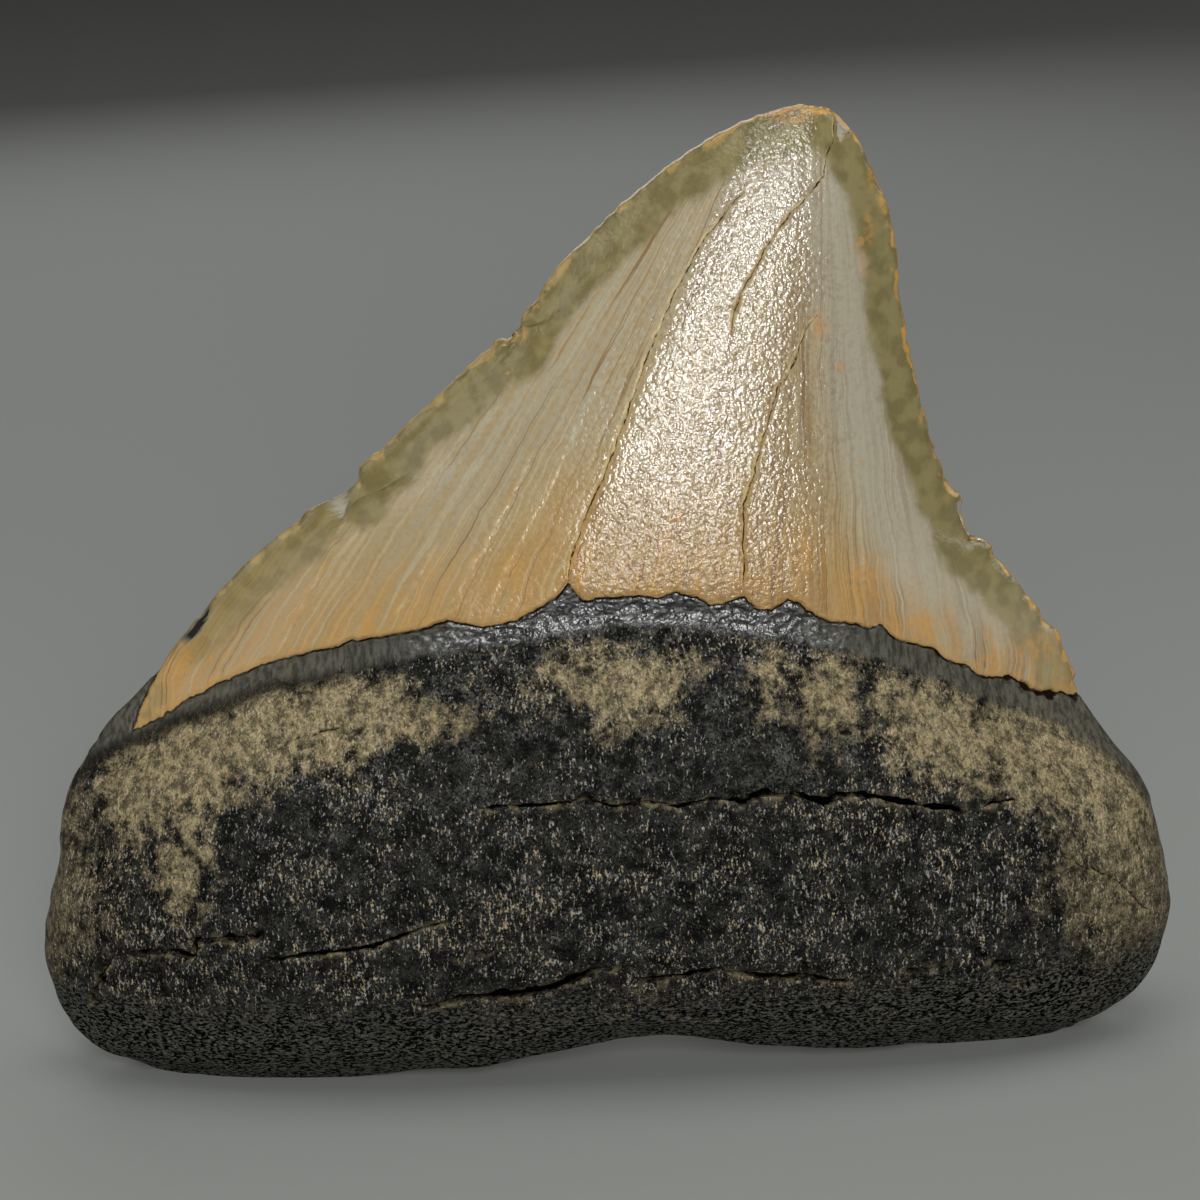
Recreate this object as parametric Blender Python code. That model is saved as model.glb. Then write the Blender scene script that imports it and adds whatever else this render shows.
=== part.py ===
"""Fossil megalodon tooth: crown and root grew together, so it is one solid.

Metres, +Z up. The swollen face of the root looks towards -Y and the flatter face
towards +Y. The tooth stands on two small flat spots under the lobes of its root,
and its origin is under the middle of its box.
"""

import math

import bmesh
import bpy
from mathutils import Vector, noise

# Driving dimensions
TOOTH_WIDTH = 0.0993          # across the two root lobes
ROOT_FRONT_DEPTH = 0.0128     # swell of the root in front of the cutting edges
ROOT_BACK_DEPTH = 0.0092      # swell of the root behind the cutting edges
CROWN_FRONT_DEPTH = 0.0078    # crown in front of the cutting edges, at the enamel line
CROWN_BACK_DEPTH = 0.0052
EDGE_THICKNESS = 0.0009       # blunt edge of the blade
LEDGE = 0.0005                # the enamel ends this far proud of the root
TIP_LEAN = 0.0022             # the tip bends this far to the back
LOBE_SWEEP = 0.0010           # the ends of the root bend this far to the back
CRACK_HALF_WIDTH = 0.0006     # of the weathered cracks in the root

# The outlines below are drawn in millimetres on a tooth 99.3 mm wide
DRAWN_WIDTH = 99.3
MM = TOOTH_WIDTH / DRAWN_WIDTH

COLUMNS = 46                  # quads across each face
BASE_STRIPS = 5               # quads across the underside
TIP_STRIPS = 2                # quads across the blunt tip
CORNER_ROUNDING = 4.0         # reach of the rounding of a smoothed line's corners
ROUNDING_SAMPLES = 7          # heights averaged over that reach

# How a ring swells between its two ends, which are at -1 and 1, with its middle at 0
RIDGE = 0.16                  # the thickest line of the crown, right of its middle
BLADE_FULLNESS = (1.9, 1.15)  # exponents of a section that thins out to its edges
LOBE_FULLNESS = (2.9, 0.5)    # exponents of a section with round ends
CROWN_THINNING = 0.62         # exponent of the crown's loss of depth towards the tip
CROWN_FOOT_ROUNDNESS = 0.25   # share of the lobe's section left at the enamel line
ROOT_TOP_ROUNDNESS = 0.35
BACK_LEAN_START = 0.4         # the tip's bend starts at this share of the height
BACK_LEAN_CURVE = 1.7
SWEEP_LEFT_AT_TIP = 0.3       # share of the lobes' sweep that the tip keeps
BITE_START = 0.75             # a chip in a cutting edge reaches in to here
BITE_DROP = 0.7               # a point in a chip sinks by this share of its depth
BROAD_LUMPS = (17.0, 9.0, 0.55)   # grain in x, grain in z, height
SMALL_LUMPS = (6.0, 4.0, 0.22)

# Rings from the base to the enamel: left x, left z, right x, right z, then how far the
# ring swells to the front and to the back as a share of the root's full depths
ROOT_RINGS = [
    (-44.5, 0.9, 42.0, 1.0, 0.52, 0.62),
    (-47.6, 2.6, 45.0, 2.6, 0.75, 0.80),
    (-49.5, 5.6, 47.1, 4.8, 0.90, 0.92),
    (-50.4, 9.0, 48.0, 8.0, 0.99, 0.98),
    (-50.7, 12.6, 48.6, 11.6, 1.00, 1.00),
    (-49.8, 16.2, 48.2, 15.0, 0.98, 0.98),
    (-48.6, 20.0, 47.3, 18.6, 0.92, 0.92),
    (-48.3, 23.8, 46.4, 22.3, 0.83, 0.84),
    (-45.9, 28.6, 43.8, 25.7, 0.72, 0.73),
    (-43.2, 32.1, 41.4, 29.4, 0.56, 0.60),
]

# Rings from the enamel line to the tip: left x, left z, right x, right z, then how deep
# a chip bites into the left and the right cutting edge there
CROWN_RINGS = [
    (-41.4, 33.8, 40.2, 31.4, 0.0, 0.0),
    (-38.6, 36.5, 39.5, 34.2, 0.0, 0.0),
    (-36.0, 39.9, 38.5, 36.7, 0.0, 0.0),
    (-34.0, 42.1, 37.1, 38.6, 0.0, 0.0),
    (-31.8, 44.5, 35.8, 40.3, 0.0, 0.0),
    (-29.4, 46.6, 34.5, 42.1, 0.0, 0.0),
    (-26.9, 48.4, 33.0, 44.3, 0.0, 0.3),
    (-24.4, 50.0, 31.8, 46.0, 0.0, 0.8),
    (-22.3, 51.2, 30.8, 47.6, 0.0, 0.0),
    (-20.9, 52.3, 30.1, 49.0, 1.0, 0.0),
    (-19.8, 53.6, 29.3, 50.6, 0.0, 0.0),
    (-17.8, 55.5, 28.5, 53.0, 0.0, 0.0),
    (-15.4, 57.6, 27.8, 55.6, 0.0, 0.0),
    (-12.9, 59.7, 27.1, 58.2, 0.0, 0.0),
    (-10.4, 61.9, 26.6, 60.8, 0.0, 0.0),
    (-8.2, 63.7, 26.2, 63.2, 0.0, 0.0),
    (-6.8, 64.9, 26.0, 64.8, 1.1, 0.0),
    (-5.4, 66.4, 25.8, 66.6, 0.2, 0.0),
    (-3.6, 68.8, 25.6, 68.9, 0.0, 0.0),
    (-1.6, 70.9, 25.4, 71.2, 0.0, 0.0),
    (0.7, 72.8, 24.9, 73.3, 0.0, 0.0),
    (3.4, 75.2, 24.2, 75.3, 0.0, 0.0),
    (6.4, 77.3, 23.3, 77.1, 0.0, 0.0),
    (9.5, 79.3, 22.6, 78.7, 0.0, 0.0),
    (12.7, 80.8, 21.8, 80.0, 0.0, 0.0),
    (15.8, 81.6, 20.8, 81.0, 0.0, 0.0),
    (18.0, 81.9, 19.8, 81.6, 0.0, 0.0),
]

# The ragged lower end of the enamel on the front face: x, z
ENAMEL_LINE = [
    (-40.8, 31.6), (-36.6, 34.1), (-32.4, 36.5), (-28.0, 38.4), (-23.0, 39.6),
    (-18.4, 40.7), (-15.2, 41.3), (-13.2, 42.2), (-11.0, 41.5), (-7.3, 42.0),
    (-4.5, 43.5), (-3.0, 45.0), (-1.7, 43.5), (2.5, 43.8), (5.8, 43.9),
    (8.5, 42.6), (11.5, 43.2), (12.5, 42.0), (15.0, 42.6), (17.7, 40.6),
    (19.7, 40.2), (22.5, 39.6), (24.0, 38.1), (27.4, 37.1), (28.4, 35.8),
    (31.2, 34.1), (34.0, 33.6), (36.8, 31.6), (40.0, 30.8),
]
ENAMEL_BACK_RISE = 4.0        # arch of the enamel's end on the back face
FRONT_LINE_FADE = 1.2         # exponents: how soon the crown's rings lose the line's form
BACK_LINE_FADE = 1.5
ROOT_LINE_GAIN = 0.85         # exponent: how soon the root's rings take it on
LEDGE_RING = (-41.7, 33.4, 40.4, 31.0, 0.0, 0.0)      # a ring just under the first one

# Lower edges of the root, front and back, which touch down at the lobes: x, z
FRONT_BASE_LINE = [
    (-50.0, 1.6), (-40.0, 0.9), (-28.0, 0.9), (-14.0, 1.0), (-8.0, 1.7),
    (2.6, 3.9), (10.0, 2.2), (18.0, 0.9), (24.0, 1.0), (30.5, 1.9),
    (36.0, 0.4), (42.0, 0.5), (48.0, 1.6),
]
BACK_BASE_LINE = [
    (-50.0, 1.6), (-40.0, 0.9), (-26.0, 1.0), (-14.0, 3.0), (2.0, 5.2),
    (16.0, 3.6), (28.0, 1.0), (38.0, 0.7), (48.0, 1.6),
]
BASE_RING_HEIGHT = 1.0        # of the lowest root ring, which both lines replace
FOOTING = 0.35                # the base lines tell on the rings up to this share of the root
UNDERSIDE_SAG = 2.4           # the lobes bulge this far down before the flats cut them
ARCH_MIDDLE = 3.0             # x of the arch between the lobes
ARCH_TO_LOBE = (12.0, 26.0)   # the arch turns into a lobe between these distances from it
LOBE_END = (37.0, 45.0)       # the bulge runs out between these distances from x = -1
CUT_TOLERANCE = 1e-4

# Weathered cracks across the front of the root: depth, then x and z along each
CRACKS = [
    (0.7, [(-12.0, 27.0), (-4.8, 27.2), (-2.4, 27.6), (0.0, 26.8), (2.8, 27.1),
           (5.2, 26.6), (8.0, 27.1), (12.3, 27.3), (17.3, 26.2), (21.9, 26.2),
           (25.5, 25.0), (30.5, 23.8), (33.5, 24.5)]),
    (0.8, [(-45.8, 8.8), (-43.3, 13.4), (-36.3, 14.3), (-34.2, 16.0), (-30.5, 16.4)]),
    (0.6, [(-29.5, 14.4), (-24.0, 15.1), (-19.8, 15.9), (-15.7, 17.3)]),
    (0.9, [(-13.5, 10.3), (-8.2, 10.5), (-3.7, 11.9), (0.6, 12.4), (5.9, 11.8),
           (11.2, 11.3), (15.2, 11.0), (18.9, 10.2)]),
]
CRACK_EASING = 6.0            # a bent ring is back at its own height this far past a crack
CRACK_RUN_OUT = (-0.8, 3.0)   # a crack gets its depth between these distances from its end

TOOTH_COLOUR = (0.10, 0.095, 0.085, 1.0)


def between(a, b, share):
    return a + (b - a) * share


def read_line(points, x):
    """Height of a drawn line at x, straight from point to point."""
    if x <= points[0][0]:
        return points[0][1]
    for (x0, z0), (x1, z1) in zip(points, points[1:]):
        if x <= x1:
            return between(z0, z1, (x - x0) / (x1 - x0))
    return points[-1][1]


def read_smooth(points, x):
    """The same line with its corners rounded over a few millimetres."""
    total = 0.0
    for sample in range(ROUNDING_SAMPLES):
        share = sample / (ROUNDING_SAMPLES - 1)
        total += read_line(points, x + between(-CORNER_ROUNDING, CORNER_ROUNDING, share))
    return total / ROUNDING_SAMPLES


def curve_through(rows, position):
    """Catmull-Rom curve through rows of numbers, read at a fractional row."""
    low = min(int(position), len(rows) - 2)
    share = position - low
    before = rows[max(low - 1, 0)]
    after = rows[min(low + 2, len(rows) - 1)]
    result = []
    for p0, p1, p2, p3 in zip(before, rows[low], rows[low + 1], after):
        bend = 2 * p0 - 5 * p1 + 4 * p2 - p3
        twist = 3 * p1 - p0 - 3 * p2 + p3
        result.append(p1 + 0.5 * share * (p2 - p0 + share * (bend + share * twist)))
    return result


def smoothstep(low, high, value):
    share = max(0.0, min(1.0, (value - low) / (high - low)))
    return share * share * (3 - 2 * share)


def across(column, spread):
    """Place of a column between the outlines, -1 to 1, closer at round ends."""
    even = 2 * column / COLUMNS - 1
    return between(even, math.sin(even * math.pi / 2), spread)


def swell(side, roundness):
    """Share of a ring's full depth at a place across it.

    A blade thins out to its edges, and a root ends in a round lobe.
    """
    ridge = RIDGE * (1 - roundness)
    centred = (side - ridge) / (1 - ridge if side > ridge else 1 + ridge)
    reach = min(abs(centred), 1.0)
    blade = (1 - reach ** BLADE_FULLNESS[0]) ** BLADE_FULLNESS[1]
    lobe = (1 - reach ** LOBE_FULLNESS[0]) ** LOBE_FULLNESS[1]
    return between(blade, lobe, roundness)


def lumps(x, z):
    """Gentle unevenness of the root."""
    total = 0.0
    for seed, (grain_x, grain_z, height) in ((3.1, BROAD_LUMPS), (8.4, SMALL_LUMPS)):
        total += height * noise.noise(Vector((x / grain_x, z / grain_z, seed)))
    return total


def edge_bend(side, height):
    """How far back the cutting edges and the lobes' ends lie; height is 0 to 1."""
    kept = between(1.0, SWEEP_LEFT_AT_TIP, smoothstep(0.3, 1.0, height))
    sweep = LOBE_SWEEP / MM * side * side * kept
    bent = max(0.0, (height - BACK_LEAN_START) / (1 - BACK_LEAN_START))
    lean = TIP_LEAN / MM * bent ** BACK_LEAN_CURVE
    return sweep + lean


def make_ring(ends, bites, shape):
    """Points of one ring: along the front from left to right, then back again."""
    left_x, left_z, right_x, right_z = ends
    height = (left_z + right_z) / 2 / CROWN_RINGS[-1][1]
    front = []
    back = []
    for column in range(COLUMNS + 1):
        side = across(column, shape["spread"])
        share = (side + 1) / 2
        x = between(left_x, right_x, share)
        rim_z = between(left_z, right_z, share)
        bite_left = bites[0] * smoothstep(-BITE_START, -1.0, side)
        bite_right = bites[1] * smoothstep(BITE_START, 1.0, side)
        x += bite_left - bite_right
        drop = BITE_DROP * (bite_left + bite_right)
        depth = swell(side, shape["roundness"])
        edge = EDGE_THICKNESS / MM / 2 * (1 - shape["roundness"])
        rough = lumps(x, rim_z) * shape["roundness"] * depth
        plane = edge_bend(side, height)
        if 0 < column < COLUMNS:
            front_y = plane - (depth * shape["front"] + edge + rough)
            back_y = plane + depth * shape["back"] + edge + rough
        else:
            front_y = plane
            back_y = plane
        front.append(Vector((x, front_y, shape["front_z"](x, rim_z, side) - drop)))
        back.append(Vector((x, back_y, shape["back_z"](x, rim_z, side) - drop)))
    return front + back[-2:0:-1]


def enamel_lift(side, sharpness):
    """How far the enamel line stands above the straight line between its two ends."""
    first = CROWN_RINGS[0]
    x = between(first[0], first[2], (side + 1) / 2)
    straight = between(first[1], first[3], (side + 1) / 2)
    line = between(read_smooth(ENAMEL_LINE, x), read_line(ENAMEL_LINE, x), sharpness)
    return (line - straight) * smoothstep(1.0, 0.93, abs(side))


def root_rings():
    """Rings of the root, each pair of drawn rings with one curved in between."""
    steps = 2 * (len(ROOT_RINGS) - 1)
    rings = []
    for step in range(steps + 1):
        *ends, front, back = curve_through(ROOT_RINGS, step / 2)
        rise = step / steps
        footing = 1 - smoothstep(0.0, FOOTING, rise)

        def front_z(x, rim_z, side, rise=rise, footing=footing):
            inside = smoothstep(1.0, 0.85, abs(side))
            base = (read_smooth(FRONT_BASE_LINE, x) - BASE_RING_HEIGHT) * footing * inside
            return rim_z + base + rise ** ROOT_LINE_GAIN * enamel_lift(side, 0.0)

        def back_z(x, rim_z, side, rise=rise, footing=footing):
            inside = smoothstep(1.0, 0.85, abs(side))
            base = (read_smooth(BACK_BASE_LINE, x) - BASE_RING_HEIGHT) * footing * inside
            return rim_z + base + rise * ENAMEL_BACK_RISE * (1 - side * side)

        shape = {
            "front": front * ROOT_FRONT_DEPTH / MM,
            "back": back * ROOT_BACK_DEPTH / MM,
            "roundness": between(1.0, ROOT_TOP_ROUNDNESS, smoothstep(0.6, 1.0, rise)),
            "spread": between(0.75, 0.5, smoothstep(0.6, 1.0, rise)),
            "front_z": front_z,
            "back_z": back_z,
        }
        rings.append(make_ring(ends, (0.0, 0.0), shape))
    return rings


def crown_rings():
    """Rings of the crown, with one just under the first to make the enamel's ledge."""
    foot = (CROWN_RINGS[0][1] + CROWN_RINGS[0][3]) / 2
    top = (CROWN_RINGS[-1][1] + CROWN_RINGS[-1][3]) / 2
    rings = []
    for number, ring in enumerate([LEDGE_RING] + CROWN_RINGS):
        *ends, left_bite, right_bite = ring
        climb = max(0.0, ((ends[1] + ends[3]) / 2 - foot) / (top - foot))
        ledge = LEDGE / MM if number == 0 else 0.0

        def front_z(x, rim_z, side, climb=climb):
            sharpness = 1 - smoothstep(0.0, 0.12, climb)
            return rim_z + enamel_lift(side, sharpness) * (1 - climb) ** FRONT_LINE_FADE

        def back_z(x, rim_z, side, climb=climb):
            rise = ENAMEL_BACK_RISE * (1 - climb) ** BACK_LINE_FADE
            return rim_z + rise * (1 - side * side)

        shape = {
            "front": CROWN_FRONT_DEPTH / MM * (1 - climb) ** CROWN_THINNING - ledge,
            "back": CROWN_BACK_DEPTH / MM * (1 - climb) ** CROWN_THINNING - ledge / 2,
            "roundness": between(CROWN_FOOT_ROUNDNESS, 0.0, smoothstep(0.0, 0.2, climb)),
            "spread": between(0.5, 0.25, smoothstep(0.0, 0.3, climb)),
            "front_z": front_z,
            "back_z": back_z,
        }
        rings.append(make_ring(ends, (left_bite, right_bite), shape))
    return rings


def height_on_face(column, z):
    """Depth of the front face at a height, read along one column of ring points."""
    for low, high in zip(column, column[1:]):
        if low.z <= z <= high.z:
            return between(low.y, high.y, (z - low.z) / (high.z - low.z))
    return column[-1].y


def open_crack(rings, depth, line):
    """Press a groove into the front face along the ring that runs nearest to a crack.

    Beyond the ends of the crack the ring eases back to its own height.
    """
    start = line[0][0]
    end = line[-1][0]
    faces = {}
    for place in range(2, COLUMNS - 1):
        face = [ring[place].copy() for ring in rings]
        if start - CRACK_EASING < face[len(face) // 2].x < end + CRACK_EASING:
            faces[place] = face

    def distance(number):
        return sum(abs(face[number].z - read_line(line, face[number].x))
                   for face in faces.values())

    number = min(range(2, len(rings) - 2), key=distance)
    for place, face in faces.items():
        x = face[number].x
        inside = min(x - start, end - x)
        pull = smoothstep(-CRACK_EASING, 0.0, inside)
        for step in (-1, 0, 1):
            point = rings[number + step][place]
            lip = read_line(line, x) + step * CRACK_HALF_WIDTH / MM
            point.z = between(point.z, lip, pull)
            point.y = height_on_face(face, point.z)
        rings[number][place].y += depth * smoothstep(*CRACK_RUN_OUT, inside)


def close_end(mesh, ring, strips, sag):
    """Fill a ring by strips of faces that run from its front to its back."""
    fronts = ring[:COLUMNS + 1]
    backs = [ring[0]] + ring[:COLUMNS:-1][:COLUMNS - 1] + [ring[COLUMNS]]
    rows = [fronts]
    for strip in range(1, strips):
        share = strip / strips
        row = [ring[0]]
        for front, back in zip(fronts[1:-1], backs[1:-1]):
            place = front.co.lerp(back.co, share)
            place.z -= sag(place.x) * 4 * share * (1 - share)
            row.append(mesh.verts.new(place))
        rows.append(row + [ring[COLUMNS]])
    rows.append(backs)
    for upper, lower in zip(rows, rows[1:]):
        for column in range(COLUMNS):
            corners = [upper[column], upper[column + 1], lower[column + 1], lower[column]]
            unique = list(dict.fromkeys(corners))
            mesh.faces.new(unique)


def build_tooth():
    mesh = bmesh.new()
    root = root_rings()
    for depth, line in CRACKS:
        open_crack(root, depth, line)
    rings = []
    for points in root + crown_rings():
        rings.append([mesh.verts.new(point) for point in points])
    around = len(rings[0])
    for lower, upper in zip(rings, rings[1:]):
        for k in range(around):
            nxt = (k + 1) % around
            mesh.faces.new([lower[k], lower[nxt], upper[nxt], upper[k]])

    def underside(x):
        lobes = smoothstep(*ARCH_TO_LOBE, abs(x - ARCH_MIDDLE))
        ends = 1 - smoothstep(*LOBE_END, abs(x + 1.0))
        return UNDERSIDE_SAG * (2 * lobes - 1) * ends

    close_end(mesh, rings[0], BASE_STRIPS, underside)
    close_end(mesh, rings[-1], TIP_STRIPS, lambda x: 0.0)
    bmesh.ops.recalc_face_normals(mesh, faces=mesh.faces)
    return mesh


def cut_flat_spots(mesh):
    """Take off what reaches below the ground, which leaves a flat spot on each lobe."""
    everything = mesh.verts[:] + mesh.edges[:] + mesh.faces[:]
    cut = bmesh.ops.bisect_plane(mesh, geom=everything, dist=CUT_TOLERANCE,
                                 plane_co=(0, 0, 0), plane_no=(0, 0, -1), clear_outer=True)
    edges = [part for part in cut["geom_cut"] if isinstance(part, bmesh.types.BMEdge)]
    bmesh.ops.holes_fill(mesh, edges=edges, sides=0)


def centre_tooth(mesh):
    """Put the origin under the middle of the tooth's box, in metres."""
    xs = [vert.co.x for vert in mesh.verts]
    ys = [vert.co.y for vert in mesh.verts]
    middle = Vector(((min(xs) + max(xs)) / 2, (min(ys) + max(ys)) / 2, 0.0))
    bmesh.ops.translate(mesh, verts=mesh.verts, vec=-middle)
    bmesh.ops.scale(mesh, verts=mesh.verts, vec=(MM, MM, MM))


def fossil_material():
    material = bpy.data.materials.new("fossil_tooth")
    material.use_nodes = True
    shader = material.node_tree.nodes["Principled BSDF"]
    shader.inputs["Base Color"].default_value = TOOTH_COLOUR
    shader.inputs["Roughness"].default_value = 0.5
    shader.inputs["Metallic"].default_value = 0.0
    return material


def make_tooth():
    mesh = build_tooth()
    cut_flat_spots(mesh)
    centre_tooth(mesh)
    bmesh.ops.recalc_face_normals(mesh, faces=mesh.faces)
    data = bpy.data.meshes.new("tooth")
    mesh.to_mesh(data)
    mesh.free()
    data.materials.append(fossil_material())
    tooth = bpy.data.objects.new("tooth", data)
    bpy.context.scene.collection.objects.link(tooth)
    return tooth


for old in list(bpy.data.objects):
    bpy.data.objects.remove(old)

make_tooth()
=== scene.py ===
import math
import bpy
import numpy as np
from mathutils import Matrix, Vector, noise
from mathutils.kdtree import KDTree


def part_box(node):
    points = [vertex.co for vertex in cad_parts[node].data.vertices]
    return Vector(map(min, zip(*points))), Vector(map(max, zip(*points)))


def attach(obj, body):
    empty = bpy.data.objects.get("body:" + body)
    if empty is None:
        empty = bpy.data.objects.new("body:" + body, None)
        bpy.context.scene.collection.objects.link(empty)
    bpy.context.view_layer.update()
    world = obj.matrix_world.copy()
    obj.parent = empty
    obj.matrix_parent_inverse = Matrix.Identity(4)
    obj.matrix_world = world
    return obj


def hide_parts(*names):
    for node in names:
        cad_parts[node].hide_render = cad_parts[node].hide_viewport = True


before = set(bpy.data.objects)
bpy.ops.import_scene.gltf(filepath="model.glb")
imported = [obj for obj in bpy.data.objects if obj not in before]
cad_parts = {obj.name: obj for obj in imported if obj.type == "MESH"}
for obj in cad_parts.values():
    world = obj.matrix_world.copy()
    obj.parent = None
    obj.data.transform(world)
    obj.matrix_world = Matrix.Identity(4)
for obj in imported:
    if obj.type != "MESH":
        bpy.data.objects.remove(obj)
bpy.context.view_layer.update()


# Fossil tooth, form
# Crown enamel and bony root are one fossil, so one mesh stands for both. It starts as a
# merged and subdivided copy of the solid, and all its lines are drawn in millimetres.
MM = 0.001
DRAWN_LEFT_END = -50.7        # where the root's left end lies in the drawing
FINE_LEVELS = 2
MERGE = 0.000001
QUAD_ANGLE = math.radians(60)

shift_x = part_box("tooth")[0].x / MM - DRAWN_LEFT_END


def select_only(thing):
    bpy.ops.object.select_all(action="DESELECT")
    thing.select_set(True)
    bpy.context.view_layer.objects.active = thing


def smooth_copy_of_solid():
    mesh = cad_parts["tooth"].data.copy()
    mesh.materials.clear()
    piece = bpy.data.objects.new("fossil_tooth", mesh)
    bpy.context.scene.collection.objects.link(piece)
    select_only(piece)
    bpy.ops.mesh.customdata_custom_splitnormals_clear()
    bpy.ops.object.mode_set(mode="EDIT")
    bpy.ops.mesh.select_all(action="SELECT")
    bpy.ops.mesh.remove_doubles(threshold=MERGE)
    bpy.ops.mesh.tris_convert_to_quads(face_threshold=QUAD_ANGLE, shape_threshold=QUAD_ANGLE)
    bpy.ops.object.mode_set(mode="OBJECT")
    rounding = piece.modifiers.new("rounding", "SUBSURF")
    rounding.levels = rounding.render_levels = FINE_LEVELS
    bpy.ops.object.modifier_apply(modifier="rounding")
    return piece


def drawn_places(mesh):
    """The mesh's points in the drawing's millimetres, and the way each of them faces."""
    places = np.empty(len(mesh.vertices) * 3)
    mesh.vertices.foreach_get("co", places)
    facing = np.empty(len(mesh.vertices) * 3)
    mesh.vertices.foreach_get("normal", facing)
    places = places.reshape(-1, 3) / MM
    places[:, 0] -= shift_x
    return places, facing.reshape(-1, 3)


def edit_faces_between(piece, points, operation, **settings):
    """Run an edit-mode operation on each face that has all its points marked."""
    mesh = piece.data
    select_only(piece)
    bpy.context.tool_settings.mesh_select_mode = (False, False, True)
    bpy.ops.object.mode_set(mode="EDIT")
    bpy.ops.mesh.select_all(action="DESELECT")
    bpy.ops.object.mode_set(mode="OBJECT")
    chosen = [bool(points[list(face.vertices)].all()) for face in mesh.polygons]
    mesh.polygons.foreach_set("select", chosen)
    bpy.ops.object.mode_set(mode="EDIT")
    operation(**settings)
    bpy.ops.object.mode_set(mode="OBJECT")


def ease(low, high, value):
    share = np.clip((value - low) / (high - low), 0.0, 1.0)
    return share * share * (3 - 2 * share)


def unevenness(places, sizes, seed):
    """Smooth noise of about -1 to 1 at each place; sizes are its grain in x, y and z."""
    scaled = places / np.array(sizes) + seed
    return np.array([noise.noise(Vector(place)) for place in scaled.tolist()])


def fine_points(line, step):
    """Points along a drawn line, step millimetres apart."""
    points = []
    for (x0, z0), (x1, z1) in zip(line, line[1:]):
        count = max(1, round(math.hypot(x1 - x0, z1 - z0) / step))
        points += [(x0 + (x1 - x0) * k / count, z0 + (z1 - z0) * k / count)
                   for k in range(count)]
    return np.array(points + [tuple(line[-1])])


def nearest_on(points, places):
    """For each place the number of the nearest of the points, and how far off it is."""
    tree = KDTree(len(points))
    for number, (x, z) in enumerate(points):
        tree.insert((x, 0.0, z), number)
    tree.balance()
    found = [tree.find((x, 0.0, z)) for x, _, z in places.tolist()]
    return np.array([hit[1] for hit in found]), np.array([hit[2] for hit in found])


def inside_outline(outline, places):
    """Even-odd test of places against a closed outline of x and z."""
    x = places[:, 0]
    z = places[:, 2]
    inside = np.zeros(len(places), bool)
    for (x0, z0), (x1, z1) in zip(outline, np.roll(outline, -1, axis=0)):
        if z0 != z1:
            crosses = (z0 > z) != (z1 > z)
            inside ^= crosses & (x < (x1 - x0) * (z - z0) / (z1 - z0) + x0)
    return inside


tooth = smooth_copy_of_solid()


# Fossil tooth, the enamel's lower edge
# The enamel is a skin over the crown. It ends in a ragged, rounded lip that stands proud
# of the root, with a thin open seam under it where it has come away.
FRONT_ENAMEL_LINE = [
    (-37.6, 37.6), (-38.5, 36.3), (-39.3, 34.9), (-40.2, 33.1), (-40.8, 31.6),
    (-38.7, 32.7), (-36.6, 34.1), (-34.5, 35.3), (-32.4, 36.5), (-30.3, 37.4),
    (-28.0, 38.4), (-26.0, 38.9), (-23.1, 39.6), (-21.1, 40.3), (-18.4, 40.7),
    (-15.2, 41.3), (-13.2, 42.2), (-11.8, 41.8), (-10.1, 41.4), (-7.3, 42.0),
    (-5.6, 43.1), (-4.3, 43.6), (-3.0, 45.0), (-1.7, 43.5), (-0.1, 43.7),
    (2.5, 43.8), (4.4, 43.6), (5.8, 43.9), (7.6, 43.5), (8.5, 42.6), (9.8, 42.8),
    (11.5, 43.2), (12.3, 42.0), (13.8, 41.9), (15.0, 42.6), (16.1, 42.2),
    (17.7, 40.6), (19.7, 40.2), (21.8, 39.4), (22.9, 39.8), (24.0, 38.1),
    (26.2, 37.5), (27.4, 37.1), (28.4, 35.8), (30.4, 35.0), (31.2, 34.1),
    (32.7, 33.6), (34.0, 33.6), (35.2, 32.6), (36.8, 31.6), (38.4, 31.4),
    (39.8, 30.7), (42.0, 30.4),
]
BACK_ENAMEL_ENDS = (-38.0, 37.0, 42.0, 30.6)     # left x, left z, right x, right z
BACK_ENAMEL_ARCH = 3.6
ABOVE_THE_CROWN = [(60.0, 40.0), (60.0, 120.0), (-60.0, 120.0), (-60.0, 60.0)]
LINE_STEP = 0.08
RAGGED = [(1.3, 0.22), (0.6, 0.16), (0.28, 0.07)]     # grain and reach of the jags


def ragged_line(line, seed):
    points = fine_points(line, LINE_STEP)
    along = np.stack([points[:, 0], points[:, 1], np.zeros(len(points))], axis=1)
    for grain, reach in RAGGED:
        points[:, 1] += reach * unevenness(along, (grain, grain, grain), seed)
        points[:, 0] += reach / 2 * unevenness(along, (grain, grain, grain), seed + 40.0)
    return points


def back_enamel_line():
    left_x, left_z, right_x, right_z = BACK_ENAMEL_ENDS
    line = []
    for x in np.linspace(left_x, right_x, 41):
        share = (x - left_x) / (right_x - left_x)
        arch = BACK_ENAMEL_ARCH * (1 - (2 * share - 1) ** 2)
        line.append((x, left_z + (right_z - left_z) * share + arch))
    return line


def height_over_enamel_line(places, facing):
    """Millimetres into the enamel from its lower edge, below zero on the root."""
    result = np.empty(len(places))
    front = facing[:, 1] < 0
    lines = ((front, FRONT_ENAMEL_LINE, 3.0), (~front, back_enamel_line(), 17.0))
    for chosen, line, seed in lines:
        points = ragged_line(line, seed)
        _, distance = nearest_on(points, places[chosen])
        outline = np.concatenate([points, ABOVE_THE_CROWN])
        inside = inside_outline(outline, places[chosen])
        result[chosen] = np.where(inside, distance, -distance)
    return result


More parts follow.
